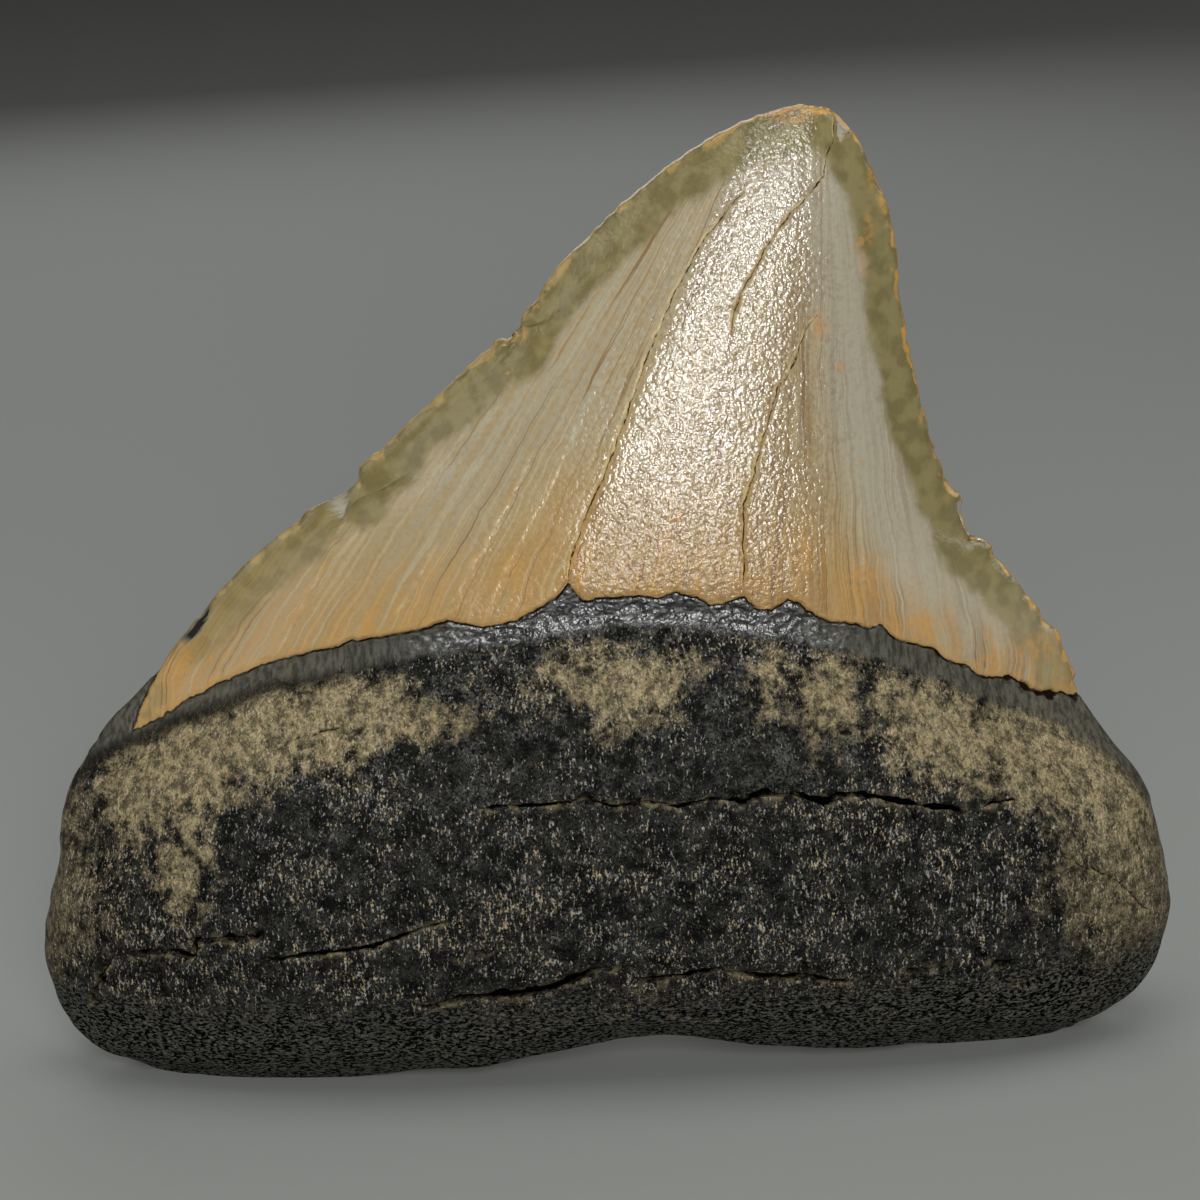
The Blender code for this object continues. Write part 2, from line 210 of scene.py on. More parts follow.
# Fossil tooth, cutting edges
# Lost flakes have left four crisp notches in the cutting edges. The mesh's own edge is
# drawn onto these lines, and the points near it follow.
NOTCHES = [
    [(-24.8, 50.3), (-23.2, 50.8), (-22.3, 51.0), (-21.9, 51.1), (-21.2, 50.8),
     (-20.9, 51.2), (-20.6, 51.7), (-20.3, 52.4), (-20.2, 53.2), (-20.0, 53.6),
     (-19.1, 54.4), (-18.5, 54.9)],
    [(-8.6, 63.5), (-7.7, 63.8), (-7.1, 63.6), (-6.7, 63.8), (-6.2, 64.3), (-5.9, 64.7),
     (-6.0, 65.0), (-5.8, 65.7), (-5.5, 66.1), (-5.0, 67.0)],
    [(33.3, 43.7), (32.7, 44.4), (32.1, 45.2), (31.7, 45.6), (31.4, 45.5), (31.2, 45.0),
     (30.9, 45.9), (30.8, 46.8), (30.5, 47.2), (30.6, 48.2), (30.2, 49.3)],
    [(40.2, 31.9), (39.3, 34.2), (38.7, 36.2), (37.8, 37.0), (37.3, 37.5), (36.9, 38.4),
     (36.5, 39.2)],
]
NOTCH_REACH = 1.6             # edge points further off than this are left alone
NOTCH_PULL = 2.0              # the pull of a notch fades out this far in from the edge
NOTCH_END = 0.6
CROWN_MIDDLE = (12.0, 50.0)
EDGE_RAY = math.radians(0.4)  # the edge is sought along rays from the middle, this far apart
EDGE_RAYS_BESIDE = (-2, -1, 0, 1, 2)
EDGE_DEPTH = 0.7              # how far in from the outermost point the edge may lie


def cutting_edges(places, facing, height):
    """The points of both cutting edges: they face sideways, and nothing lies outside them."""
    chosen = (np.abs(facing[:, 1]) < 0.3) & (height > -1.0) & (places[:, 2] > 30.0)
    edge = places[chosen][:, [0, 2]]
    off = edge - CROWN_MIDDLE
    reach = np.hypot(off[:, 0], off[:, 1])
    ray = ((np.arctan2(off[:, 1], off[:, 0]) + math.pi) / EDGE_RAY).astype(int)
    outermost = np.zeros(ray.max() + 1)
    np.maximum.at(outermost, ray, reach)
    outermost = np.max([np.roll(outermost, turn) for turn in EDGE_RAYS_BESIDE], axis=0)
    return edge[reach > outermost[ray] - EDGE_DEPTH]


def pull_edge_to_notches(piece):
    """Draw the cutting edges onto the notches and give back the edges' new points."""
    places, facing = drawn_places(piece.data)
    edge = cutting_edges(places, facing, height_over_enamel_line(places, facing))
    number, distance = nearest_on(edge, places)
    edge_places = np.stack([edge[:, 0], np.zeros(len(edge)), edge[:, 1]], axis=1)
    shift = np.zeros(edge.shape)
    for line in NOTCHES:
        points = fine_points(line, LINE_STEP)
        target, off = nearest_on(points, edge_places)
        run = np.minimum(target, len(points) - 1 - target) * LINE_STEP
        share = ease(0.0, NOTCH_END, run) * ease(NOTCH_REACH, 1.0, off)
        shift += (points[target] - edge) * share[:, None]
    places[:, [0, 2]] += shift[number] * ease(NOTCH_PULL, 0.0, distance)[:, None]
    places[:, 0] += shift_x
    piece.data.vertices.foreach_set("co", (places * MM).ravel())
    piece.data.update()
    return edge + shift


# Fossil tooth, cracks and veins
# The crown has three hairline cracks that run down from its tip, and raised pale veins.
# The root has weathered cracks along its layers. Each is drawn as x and z from end to end.
CROWN_CRACKS = [
    [(13.3, 76.1), (12.0, 74.9), (10.7, 73.4), (9.4, 72.0), (8.5, 70.8), (7.5, 68.9),
     (6.5, 67.3), (5.7, 65.7), (4.5, 63.3), (3.1, 60.0), (2.1, 57.5), (1.2, 55.5),
     (0.3, 53.5), (-0.9, 51.2), (-1.8, 49.3), (-2.5, 47.3), (-3.0, 44.8)],
    [(20.3, 81.5), (20.3, 79.3), (19.6, 77.9), (19.3, 76.4), (17.9, 74.9), (16.3, 73.6),
     (15.3, 72.4), (14.1, 70.8), (13.5, 69.7), (12.6, 68.5), (11.6, 66.5), (11.0, 64.0)],
    [(18.7, 66.0), (17.2, 64.1), (16.6, 62.5), (15.6, 60.6), (15.0, 60.2), (14.5, 58.9),
     (13.9, 57.1), (13.3, 55.5), (12.6, 53.3), (11.7, 50.8), (11.5, 47.9), (11.4, 43.4)],
]
VEINS = [
    [(-21.2, 50.6), (-21.9, 48.9), (-22.6, 47.3), (-23.7, 45.2), (-25.1, 43.1),
     (-26.6, 40.5), (-27.9, 38.4)],
    [(-19.0, 43.8), (-20.2, 41.9), (-21.3, 40.0)],
    [(-13.2, 48.8), (-14.6, 46.5), (-16.0, 44.2), (-17.2, 42.6), (-18.1, 41.0)],
    [(-5.0, 56.3), (-6.5, 53.4), (-8.2, 50.6), (-9.8, 47.9), (-11.3, 45.7), (-12.7, 43.2)],
    [(-2.6, 55.9), (-3.9, 53.0), (-5.0, 51.4), (-5.9, 50.0), (-7.9, 46.6), (-9.8, 43.0)],
    [(21.0, 47.5), (21.4, 45.5), (21.8, 43.6), (22.5, 41.5), (22.9, 40.0)],
    [(14.8, 48.8), (15.3, 45.6), (15.8, 42.6)],
    [(6.3, 53.5), (5.6, 50.5), (5.1, 47.0), (4.9, 44.2)],
]
ROOT_CRACKS = [
    # half width, depth, then the line
    (0.10, 0.5, [(-12.0, 27.0), (-8.6, 27.2), (-4.8, 27.2), (-2.4, 27.6), (0.0, 26.8),
                 (2.8, 27.1), (5.2, 26.6), (8.0, 27.1), (10.7, 26.9), (12.3, 27.3)]),
    (0.19, 0.9, [(9.0, 27.0), (10.7, 26.9), (12.3, 27.3), (15.0, 26.9), (17.3, 26.2),
                 (19.0, 26.5), (21.9, 26.2), (23.8, 25.5), (25.5, 25.0), (28.0, 24.4),
                 (30.5, 23.8)]),
    (0.08, 0.3, [(30.0, 23.9), (31.7, 24.4), (33.5, 24.5), (35.2, 23.8)]),
    (0.14, 0.7, [(-46.6, 7.8), (-45.8, 8.8), (-44.8, 11.0), (-43.6, 13.2), (-42.6, 13.9)]),
    (0.24, 0.9, [(-43.3, 13.8), (-41.5, 13.8), (-39.1, 14.3), (-36.3, 14.3),
                 (-35.8, 15.5), (-34.2, 15.9), (-32.2, 16.2), (-30.4, 16.3), (-29.1, 18.2)]),
    (0.15, 0.7, [(-30.9, 14.4), (-28.6, 14.5), (-26.5, 14.8), (-24.0, 15.1), (-21.6, 15.4),
                 (-19.8, 15.9), (-18.1, 16.5), (-15.7, 17.3), (-13.5, 17.8)]),
    (0.30, 0.9, [(-17.5, 9.4), (-13.5, 10.3), (-10.6, 10.4), (-8.2, 10.5), (-5.7, 11.0),
                 (-3.7, 11.9), (-1.8, 12.5), (0.6, 12.7), (2.0, 12.5)]),
    (0.22, 0.8, [(0.2, 11.5), (3.5, 11.5), (5.9, 11.8), (8.8, 11.8), (11.2, 11.3),
                 (13.5, 10.9), (15.2, 11.0), (17.2, 10.5), (18.9, 10.2), (20.6, 10.3)]),
    (0.12, 0.4, [(-12.8, 7.1), (-10.8, 8.0), (-7.5, 8.3)]),
    (0.12, 0.4, [(-1.0, 10.1), (2.4, 9.9), (3.9, 9.0)]),
    (0.12, 0.4, [(2.9, 7.6), (5.3, 7.5), (7.8, 5.9)]),
    (0.14, 0.4, [(22.3, 11.3), (23.4, 10.7), (25.7, 10.8), (27.3, 11.2), (28.7, 10.5)]),
    (0.16, 0.4, [(29.6, 11.8), (30.6, 11.5), (31.5, 10.7), (33.8, 10.3)]),
    (0.12, 0.4, [(32.2, 8.3), (34.6, 7.9), (35.8, 8.4)]),
    (0.09, 0.4, [(37.6, 19.6), (38.7, 18.6), (39.6, 17.7), (41.0, 17.0), (42.3, 16.2),
                 (43.4, 15.2), (44.4, 13.9), (45.5, 12.5), (46.3, 11.3)]),
    (0.05, 0.2, [(-15.5, 14.9), (-12.6, 14.7), (-9.6, 15.0)]),
    (0.06, 0.2, [(-28.5, 31.9), (-23.4, 33.3), (-17.5, 33.4), (-12.0, 33.0)]),
]
CRACK_STEP = 0.10
CRACK_WANDER = [(1.1, 0.14), (0.35, 0.07)]       # grain and reach of a crack's bends
CRACK_TAPER = 2.2             # a crack runs out over this length at each end
CROWN_CRACK_WIDTH = 0.11
CROWN_CRACK_DEPTH = 0.05
VEIN_WIDTH = 0.12
VEIN_RISE = 0.025
ROOT_PITS = [
    # x, z, radius, depth
    (-44.6, 11.1, 0.45, 0.5), (15.4, 11.8, 0.6, 0.7), (17.2, 6.5, 0.5, 0.5),
    (24.9, 24.3, 0.6, 0.4), (39.2, 7.9, 0.4, 0.4), (-16.0, 6.5, 0.5, 0.4),
    (30.1, 11.9, 0.5, 0.5), (-35.6, 15.8, 0.5, 0.5),
]


def crack_reach(line, places, seed):
    """Distance to a wandering crack, its share of full width and which side a place is."""
    points = fine_points(line, CRACK_STEP)
    along = np.stack([points[:, 0], points[:, 1], np.zeros(len(points))], axis=1)
    for grain, reach in CRACK_WANDER:
        points[:, 1] += reach * unevenness(along, (grain, grain, grain), seed)
        points[:, 0] += reach * unevenness(along, (grain, grain, grain), seed + 9.0)
    number, distance = nearest_on(points, places)
    run = np.minimum(number, len(points) - 1 - number) * CRACK_STEP
    width = 0.8 + 0.8 * unevenness(along, (1.3, 1.3, 1.3), seed + 21.0)[number]
    following = points[np.minimum(number + 2, len(points) - 1)]
    before = points[np.maximum(number - 2, 0)]
    way = following - before
    off = places[:, [0, 2]] - points[number]
    side = np.sign(way[:, 0] * off[:, 1] - way[:, 1] * off[:, 0])
    return distance, np.clip(width, 0.25, 1.5) * ease(-0.1, CRACK_TAPER, run), side


# Fossil tooth, chips and stains
# The tip and three places on the cutting edges have lost flakes, and rust has stained
# the enamel. A chip is an outline, its depth, and whether it is stained black.
CHIPS = [
    (0.50, 0.0, [(20.4, 83.0), (20.5, 81.0), (20.6, 80.1), (20.5, 79.5), (20.8, 79.0),
                 (21.2, 79.4), (21.7, 79.45), (22.2, 79.8), (24.0, 82.0)]),
    (0.30, 0.0, [(29.9, 48.1), (30.2, 46.9), (30.8, 45.4), (31.4, 44.8), (32.6, 44.6),
                 (33.5, 46.0), (31.6, 49.4), (30.4, 48.3)]),
    (0.25, 0.0, [(-22.9, 50.7), (-22.4, 49.9), (-21.8, 49.2), (-21.5, 49.6), (-21.1, 50.6),
                 (-21.4, 52.0), (-22.9, 52.0)]),
    (0.30, 1.0, [(-36.6, 39.0), (-35.6, 40.9), (-34.4, 42.2), (-33.6, 42.4), (-33.6, 41.4),
                 (-34.1, 40.4), (-34.7, 39.6), (-35.6, 38.9)]),
]
CHIP_EDGE = 0.2
STAINS = [
    # orange blotches on the enamel: x, z, half width, half height
    (18.4, 64.4, 0.8, 1.2), (-7.6, 46.3, 0.9, 1.3), (21.3, 43.6, 1.6, 1.8),
    (31.8, 35.0, 1.2, 0.9), (36.6, 35.4, 2.4, 1.1), (23.3, 75.9, 0.35, 1.0),
    (22.9, 71.8, 0.4, 1.6), (22.4, 69.0, 0.3, 1.2), (17.0, 81.2, 1.8, 0.7),
    (-36.0, 37.2, 0.8, 2.2), (3.5, 44.2, 1.2, 0.6), (16.6, 46.5, 0.5, 1.6),
    (-19.4, 41.5, 0.7, 0.9), (-16.9, 43.7, 0.5, 0.5), (-31.5, 38.4, 0.35, 0.35),
    (26.5, 39.2, 2.2, 1.0), (-2.0, 46.0, 0.4, 1.5), (12.4, 44.2, 0.8, 0.7),
]
TAN_PATCHES = [
    # pale weathered patches on the front of the root, as outlines
    [(-43.5, 27.0), (-39.3, 30.6), (-36.6, 32.7), (-32.4, 34.3), (-28.3, 36.2),
     (-21.6, 36.3), (-17.4, 36.4), (-13.2, 35.7), (-10.8, 35.3), (-10.9, 33.6),
     (-15.9, 33.0), (-26.0, 32.3), (-30.4, 29.6), (-34.0, 28.0), (-38.0, 26.0),
     (-42.0, 25.0)],
    [(-36.9, 23.2), (-36.0, 24.6), (-35.4, 22.2), (-36.2, 20.0), (-37.2, 20.6)],
    [(-5.3, 38.0), (-4.0, 39.1), (1.0, 39.4), (6.7, 38.6), (7.9, 36.7), (4.0, 34.1),
     (-0.9, 33.8), (-4.1, 35.7)],
    [(16.2, 35.6), (20.6, 36.0), (20.0, 33.0), (17.4, 31.2), (16.4, 33.6)],
    [(12.2, 37.4), (14.2, 37.2), (13.6, 33.6), (11.8, 34.2)],
    [(22.5, 34.4), (27.6, 32.8), (32.9, 30.6), (37.5, 29.6), (43.0, 25.8), (46.4, 20.8),
     (44.6, 17.6), (41.4, 22.2), (35.1, 25.4), (30.7, 27.0), (25.6, 29.4)],
]
BAND_EDGE = [
    # lower edge of the smooth dark band that lies under the enamel
    (-49.5, 23.0), (-47.0, 26.3), (-45.6, 28.2), (-43.9, 29.4), (-41.9, 30.4),
    (-39.8, 31.2), (-36.6, 32.9), (-32.4, 34.5), (-28.3, 36.3), (-25.0, 36.8),
    (-20.0, 38.0), (-15.0, 38.9), (-11.4, 39.5), (-5.6, 40.2), (1.1, 41.2), (7.7, 40.6),
    (14.3, 39.2), (21.0, 37.2), (27.8, 34.2), (33.0, 31.3), (38.4, 28.6), (42.8, 25.0),
    (45.4, 22.2), (48.5, 17.0),
]
ABOVE_THE_BAND = [(60.0, 17.0), (60.0, 120.0), (-60.0, 120.0), (-60.0, 23.0)]


def depth_inside(outline, places):
    """Millimetres into a closed outline of x and z, below zero outside it."""
    _, distance = nearest_on(fine_points(outline + outline[:1], 0.1), places)
    return np.where(inside_outline(np.array(outline), places), distance, -distance)


# Fossil tooth, surface
# Fine mesh goes only where an edge or a crack needs it, and the smooth back is thinned.
# Then each point moves along the way it faces, by all that has weathered or broken there.
CRISP_BAND = 0.42             # reach of the fine mesh round a feature
EDGE_BAND = 0.5
BACK_KEPT = 1.2               # the back stays fine this close to the enamel's edge
LIP_RISE = 0.32
LIP_ROUND = 0.30
SEAM_DEPTH = 0.14
SEAM_WIDTH = 0.09
SEAM_BELOW = 0.08             # the seam's middle lies this far under the enamel's edge
GAPE_WIDTH = 0.30             # where it gapes on the right it is this much wider
BAND_BULGE = 0.10
CRUMPLED_HEIGHT = 3.2         # the bone just under the middle of the enamel is crumpled
CRUMPLES = [((1.6, 1.6, 0.8), 0.16), ((0.7, 0.7, 0.45), 0.12), ((0.4, 0.4, 0.3), 0.06)]
BAND_GROOVE = 0.16
CRUMB_RISE = 0.10
CRACK_LIP_RISE = 0.008
SCALLOP_DEPTH = 0.30
GROWTH_RIDGE = 0.035
LUMPS = [((6.0, 6.0, 3.2), 0.22), ((2.4, 2.4, 1.5), 0.10), ((1.1, 1.1, 1.3), 0.05)]


def near_lines(places, facing, height):
    """Mark the front's points close to the enamel's edge, a crack or a vein."""
    front = facing[:, 1] < 0.1
    near = np.abs(height) < CRISP_BAND
    for line in CROWN_CRACKS + VEINS + [line for _, _, line in ROOT_CRACKS]:
        _, distance = nearest_on(fine_points(line, CRACK_STEP), places)
        near |= distance < CRISP_BAND
    near |= (height < 0) & (height > -CRUMPLED_HEIGHT) & (np.abs(places[:, 0] - 2.0) < 20.0)
    return near & front


places, facing = drawn_places(tooth.data)
height = height_over_enamel_line(places, facing)
smooth_back = (facing[:, 1] > 0.35) & (places[:, 2] > 3.0) & (np.abs(height) > BACK_KEPT)
edit_faces_between(tooth, smooth_back, bpy.ops.mesh.unsubdivide, iterations=2)

places, facing = drawn_places(tooth.data)
height = height_over_enamel_line(places, facing)
_, rim = nearest_on(cutting_edges(places, facing, height), places)
near_edge = (rim < EDGE_BAND) & (height > -0.5)
edit_faces_between(tooth, near_edge, bpy.ops.mesh.subdivide, number_cuts=1)
edge_line = pull_edge_to_notches(tooth)

places, facing = drawn_places(tooth.data)
near = near_lines(places, facing, height_over_enamel_line(places, facing))
edit_faces_between(tooth, near, bpy.ops.mesh.subdivide, number_cuts=2)

places, facing = drawn_places(tooth.data)
height = height_over_enamel_line(places, facing)
_, rim = nearest_on(edge_line, places)
x = places[:, 0]
z = places[:, 2]
front = ease(0.15, -0.15, facing[:, 1])
on_root = ease(0.0, -0.25, height)
on_crown = 1 - on_root
raised = np.zeros(len(places))

# the enamel's lip, flush at both ends, and the seam under it, which gapes on the right
middle = 0.35 + 0.65 * ease(30.0, 16.0, np.abs(x + 2.0))
lip = LIP_RISE * middle * ease(0.0, LIP_ROUND, height) * (1 - 0.8 * ease(0.5, 6.0, height))
gape_noise = unevenness(places, (1.1, 4.0, 4.0), 91.0)
gape = front * ease(26.0, 30.0, x) * ease(42.0, 40.0, x) * ease(-0.3, 0.2, gape_noise)
seam_off = np.abs(height + SEAM_BELOW * (1 + 2 * gape)) / (SEAM_WIDTH + GAPE_WIDTH * gape)
seam = ease(1.6, 0.5, seam_off)
raised += lip - seam * SEAM_DEPTH * (1 + 2.5 * gape)

# the smooth band under the enamel, with a groove along its lower edge on the left
band_points = fine_points(BAND_EDGE, 0.1)
_, band = nearest_on(band_points, places)
above_band = inside_outline(np.concatenate([band_points, ABOVE_THE_BAND]), places)
band = np.where(above_band, band, -band) * front - 9.0 * (1 - front)
raised += BAND_BULGE * on_root * ease(0.0, 0.9, band)
groove_share = 0.25 + 0.75 * ease(-16.0, -30.0, x)
raised -= BAND_GROOVE * groove_share * on_root * ease(0.55, 0.05, np.abs(band + 0.1))

# its crumpled middle
crumpled = on_root * front * ease(-CRUMPLED_HEIGHT, -1.8, height)
crumpled *= ease(22.0, 14.0, np.abs(x - 2.0))
for number, (sizes, reach) in enumerate(CRUMPLES):
    ridges = 0.5 - 2.0 * np.abs(unevenness(places, sizes, 61.0 + 5.0 * number))
    raised += reach * crumpled * ridges * ease(0.0, 0.5, -height)

# uneven root
for number, (sizes, reach) in enumerate(LUMPS):
    raised += reach * on_root * (1 - 0.5 * ease(0.2, 0.8, band)) * unevenness(
        places, sizes, 5.0 + 3.0 * number)

# cracks of the root, with crumbled pale lips; in the shader the cracks and pits are painted black as
# shade, and each crack's lower lip is painted paler as a highlight
crack_and_pit_shade = np.zeros(len(places))
crumbs_and_highlight = np.zeros(len(places))
for number, (half_width, depth, line) in enumerate(ROOT_CRACKS):
    distance, width, side = crack_reach(line, places, 3.7 * number)
    groove = front * on_root * ease(1.25, 0.75, distance / np.maximum(half_width * width, 0.02))
    groove *= ease(0.15, 0.35, width)
    raised -= depth * groove
    raised += CRUMB_RISE * front * (side < 0) * ease(0.9, 0.2, distance) * ease(0.2, 0.9, width)
    crack_and_pit_shade = np.maximum(crack_and_pit_shade, groove)
    beside = front * ease(0.5, 0.12, distance - half_width * width) * ease(0.1, 0.6, width)
    crumbs_and_highlight = np.maximum(crumbs_and_highlight, beside * (0.4 + 0.6 * (side < 0)))
for pit_x, pit_z, radius, depth in ROOT_PITS:
    off = np.hypot(x - pit_x, z - pit_z) / radius
    off += 0.25 * unevenness(places, (0.5, 0.5, 0.5), pit_x)
    hole = front * ease(1.1, 0.6, off)
    raised -= depth * hole
    crack_and_pit_shade = np.maximum(crack_and_pit_shade, hole)

# cracks and veins of the crown; a crack's left lip stands a little higher
crown_side = np.full(len(places), 9.0)
crown_far = np.full(len(places), 9.0)
for number, line in enumerate(CROWN_CRACKS):
    distance, width, side = crack_reach(line, places, 50.0 + number)
    share = front * on_crown * width
    raised -= CROWN_CRACK_DEPTH * share * ease(1.8, 0.3, distance / CROWN_CRACK_WIDTH)
    beside = ease(0.08, 0.16, distance) * ease(1.1, 0.3, distance) * (side < 0)
    raised += CRACK_LIP_RISE * share * beside
    closer = distance < crown_far
    crown_side[closer] = (side * distance / np.clip(share, 0.3, 1.5))[closer]
    crown_far[closer] = (distance + 9.0 * (share < 0.08))[closer]
vein = np.zeros(len(places))
for number, line in enumerate(VEINS):
    distance, width, _ = crack_reach(line, places, 80.0 + number)
    share = front * on_crown * width * ease(1.6, 0.3, distance / VEIN_WIDTH)
    raised += VEIN_RISE * share
    vein = np.maximum(vein, share)

# chips and the scalloped cutting edges
chip = np.zeros(len(places))
black = np.zeros(len(places))
for depth, stain, outline in CHIPS:
    share = ease(0.0, CHIP_EDGE, depth_inside(outline, places)) * ease(0.6, -0.1, facing[:, 1])
    raised -= depth * share
    chip = np.maximum(chip, share)
    black = np.maximum(black, share * stain)
scallops = np.abs(unevenness(places, (1.1, 9.0, 1.1), 70.0))
raised -= SCALLOP_DEPTH * scallops * ease(0.7, 0.0, rim) * on_crown * ease(0.0, 1.0, height)

# stains, and the fans of growth lines that run together at the tip
rust = np.zeros(len(places))
for stain_x, stain_z, half_width, half_height in STAINS:
    off = np.hypot((x - stain_x) / half_width, (z - stain_z) / half_height)
    rust = np.maximum(rust, ease(1.7, 0.1, off))
tan = np.full(len(places), -9.0)
for outline in TAN_PATCHES:
    tan = np.maximum(tan, depth_inside(outline, places))
FAN_TIP = (19.5, 92.0)
FAN_FOOT = 36.0
FAN_BEND = 1.15
rise = np.clip((z - FAN_FOOT) / (FAN_TIP[1] - FAN_FOOT), 0.0, 0.9) ** FAN_BEND
streak = (x - FAN_TIP[0] * rise) / (1 - rise)
ridges = unevenness(np.stack([streak, z, front * 9], axis=1), (1.5, 30.0, 1.0), 31.0)
raised += GROWTH_RIDGE * on_crown * ease(0.3, 2.0, height) * ease(0.5, 3.0, rim) * ridges

# nothing moves on the flat spots that the tooth stands on
raised *= ease(0.1, 1.5, z)
moved = places + facing * raised[:, None]
moved[:, 0] += shift_x
moved[:, 2] = np.maximum(moved[:, 2], 0.0)
tooth.data.vertices.foreach_set("co", (moved * MM).ravel())
tooth.data.update()


def keep_on_points(name, values):
    attribute = tooth.data.attributes.new(name, "FLOAT", "POINT")
    attribute.data.foreach_set("value", values.astype(np.float32))


for name, values in {
        "enamel_height": height, "seam_off": seam_off, "rim_distance": rim, "streak": streak,
        "band": band, "crown_crack_side": crown_side, "crown_crack_far": crown_far,
        "vein": vein, "crack_and_pit_shade": crack_and_pit_shade, "crumbs_and_highlight": crumbs_and_highlight, "chip": chip, "black_chip": black,
        "rust": rust, "tan_patch": tan * front - 9.0 * (1 - front), "front": front}.items():
    keep_on_points(name, values)
select_only(tooth)
bpy.ops.object.shade_smooth()


# Fossil tooth, colour and gloss
# One fossil, one finish: satin streaked enamel on the crown and matt porous bone on the
# root, mixed by the height over the enamel's edge that each point keeps.
finish = bpy.data.materials.new("fossil_tooth")
finish.use_nodes = True
tree = finish.node_tree
shader = tree.nodes["Principled BSDF"]


def add_node(kind, inputs, **settings):
    """A node with its settings made and its inputs linked or filled in."""
    node = tree.nodes.new(kind)
    for name, value in settings.items():
        setattr(node, name, value)
    for socket, value in inputs.items():
        if isinstance(value, bpy.types.NodeSocket):
            tree.links.new(value, node.inputs[socket])
        else:
            node.inputs[socket].default_value = value
    return node


def kept(name):
    return add_node("ShaderNodeAttribute", {}, attribute_name=name).outputs["Fac"]


def maths(operation, first, second=0.0):
    return add_node("ShaderNodeMath", {0: first, 1: second}, operation=operation).outputs[0]


def plus(first, second):
    return maths("ADD", first, second)


def larger(first, second):
    return maths("MAXIMUM", first, second)


def unsigned(value):
    return maths("ABSOLUTE", value)


def times(*shares):
    product = shares[0]
    for share in shares[1:]:
        product = maths("MULTIPLY", product, share)
    return product


def swing(value, reach):
    """A grain's value turned into an offset of up to half the reach, either way."""
    return times(maths("SUBTRACT", value, 0.5), reach)


def graded(value, low, high, start=0.0, end=1.0):
    """Ease from start to end while the value goes from low to high."""
    inputs = {"Value": value, "From Min": low, "From Max": high, "To Min": start, "To Max": end}
    return add_node("ShaderNodeMapRange", inputs, interpolation_type="SMOOTHSTEP").outputs[0]


def grain(vector, scale, detail=2.0, roughness=0.5):
    inputs = {"Vector": vector, "Scale": scale, "Detail": detail, "Roughness": roughness}
    return add_node("ShaderNodeTexNoise", inputs).outputs["Fac"]


def tinted(share, base, over):
    """Colour that goes from base to over by a share from 0 to 1."""
    base = base if isinstance(base, bpy.types.NodeSocket) else (*base, 1.0)
    over = over if isinstance(over, bpy.types.NodeSocket) else (*over, 1.0)
    node = add_node("ShaderNodeMix", {0: share, 6: base, 7: over}, data_type="RGBA")
    return node.outputs[2]


def between(share, base, over):
    node = add_node("ShaderNodeMix", {0: share, 2: base, 3: over}, data_type="FLOAT")
    return node.outputs[0]


def stretched(vector, x, y, z):
    inputs = {"Vector": vector, "Scale": (x, y, z)}
    return add_node("ShaderNodeMapping", inputs).outputs[0]


def hairlines(vector, width):
    """Thin lines, where smooth noise passes through its middle value."""
    off = unsigned(maths("SUBTRACT", grain(vector, 1.0, 1.0), 0.5))
    return graded(off, width, width * 0.25)


here = add_node("ShaderNodeTexCoord", {}).outputs["Object"]
place = stretched(here, 1 / MM, 1 / MM, 1 / MM)
split = add_node("ShaderNodeSeparateXYZ", {0: place})
aside = split.outputs["X"]
up = split.outputs["Z"]
enamel_height = kept("enamel_height")
rim_distance = kept("rim_distance")
streak = kept("streak")
crack_side = kept("crown_crack_side")

PALE_ENAMEL = (0.37, 0.305, 0.165)
TAN_ENAMEL = (0.32, 0.21, 0.080)
BLUISH = (0.31, 0.285, 0.20)
PALE_FLANK = (0.36, 0.335, 0.255)
BROWN_LINE = (0.17, 0.085, 0.03)
SILK = (0.45, 0.38, 0.23)
PIT_SHADE = (0.20, 0.11, 0.055)
ORANGE = (0.46, 0.235, 0.055)
GOLDEN = (0.42, 0.25, 0.085)
OLIVE = (0.140, 0.114, 0.040)
PALE_OLIVE = (0.200, 0.166, 0.066)
AMBER = (0.56, 0.29, 0.055)
STRAW = (0.40, 0.28, 0.10)
CREAM = (0.58, 0.43, 0.22)
CHIPPED = (0.30, 0.28, 0.21)
BLACK_CHIP = (0.02, 0.018, 0.018)
CRACK_SHADE = (0.020, 0.012, 0.008)

# growth lines run along the fan from the tip to the root, and wander a little
wander = swing(grain(place, 0.3, 2.0), 1.4)
fan = add_node("ShaderNodeCombineXYZ", {
    0: plus(streak, wander), 1: times(kept("front"), 7.0), 2: up}).outputs[0]
silk = grain(stretched(fan, 0.9, 1.0, 0.02), 1.0, 4.0, 0.72)
silk_fine = grain(stretched(fan, 2.2, 1.0, 0.05), 1.0, 2.0, 0.6)
fade = grain(stretched(fan, 0.6, 1.0, 0.07), 1.0, 2.0)
lines_left = times(hairlines(stretched(fan, 0.55, 1.0, 0.012), 0.022), graded(fade, 0.40, 0.56))
lines_right = times(hairlines(stretched(fan, 2.6, 1.0, 0.025), 0.11), graded(fade, 0.34, 0.60),
                    graded(streak, 7.0, 12.0, 0.15, 1.0), graded(up, 77.0, 69.0))
cloud = grain(place, 0.16, 2.0, 0.55)
mottle = grain(place, 1.1, 3.0, 0.6)
pebbles = grain(place, 2.5, 2.0, 0.5)
off_middle = plus(streak, swing(cloud, 16.0))
pebbled = times(graded(streak, -8.5, -3.5, 0.2, 1.0), graded(off_middle, 23.0, 11.0, 0.2, 1.0))

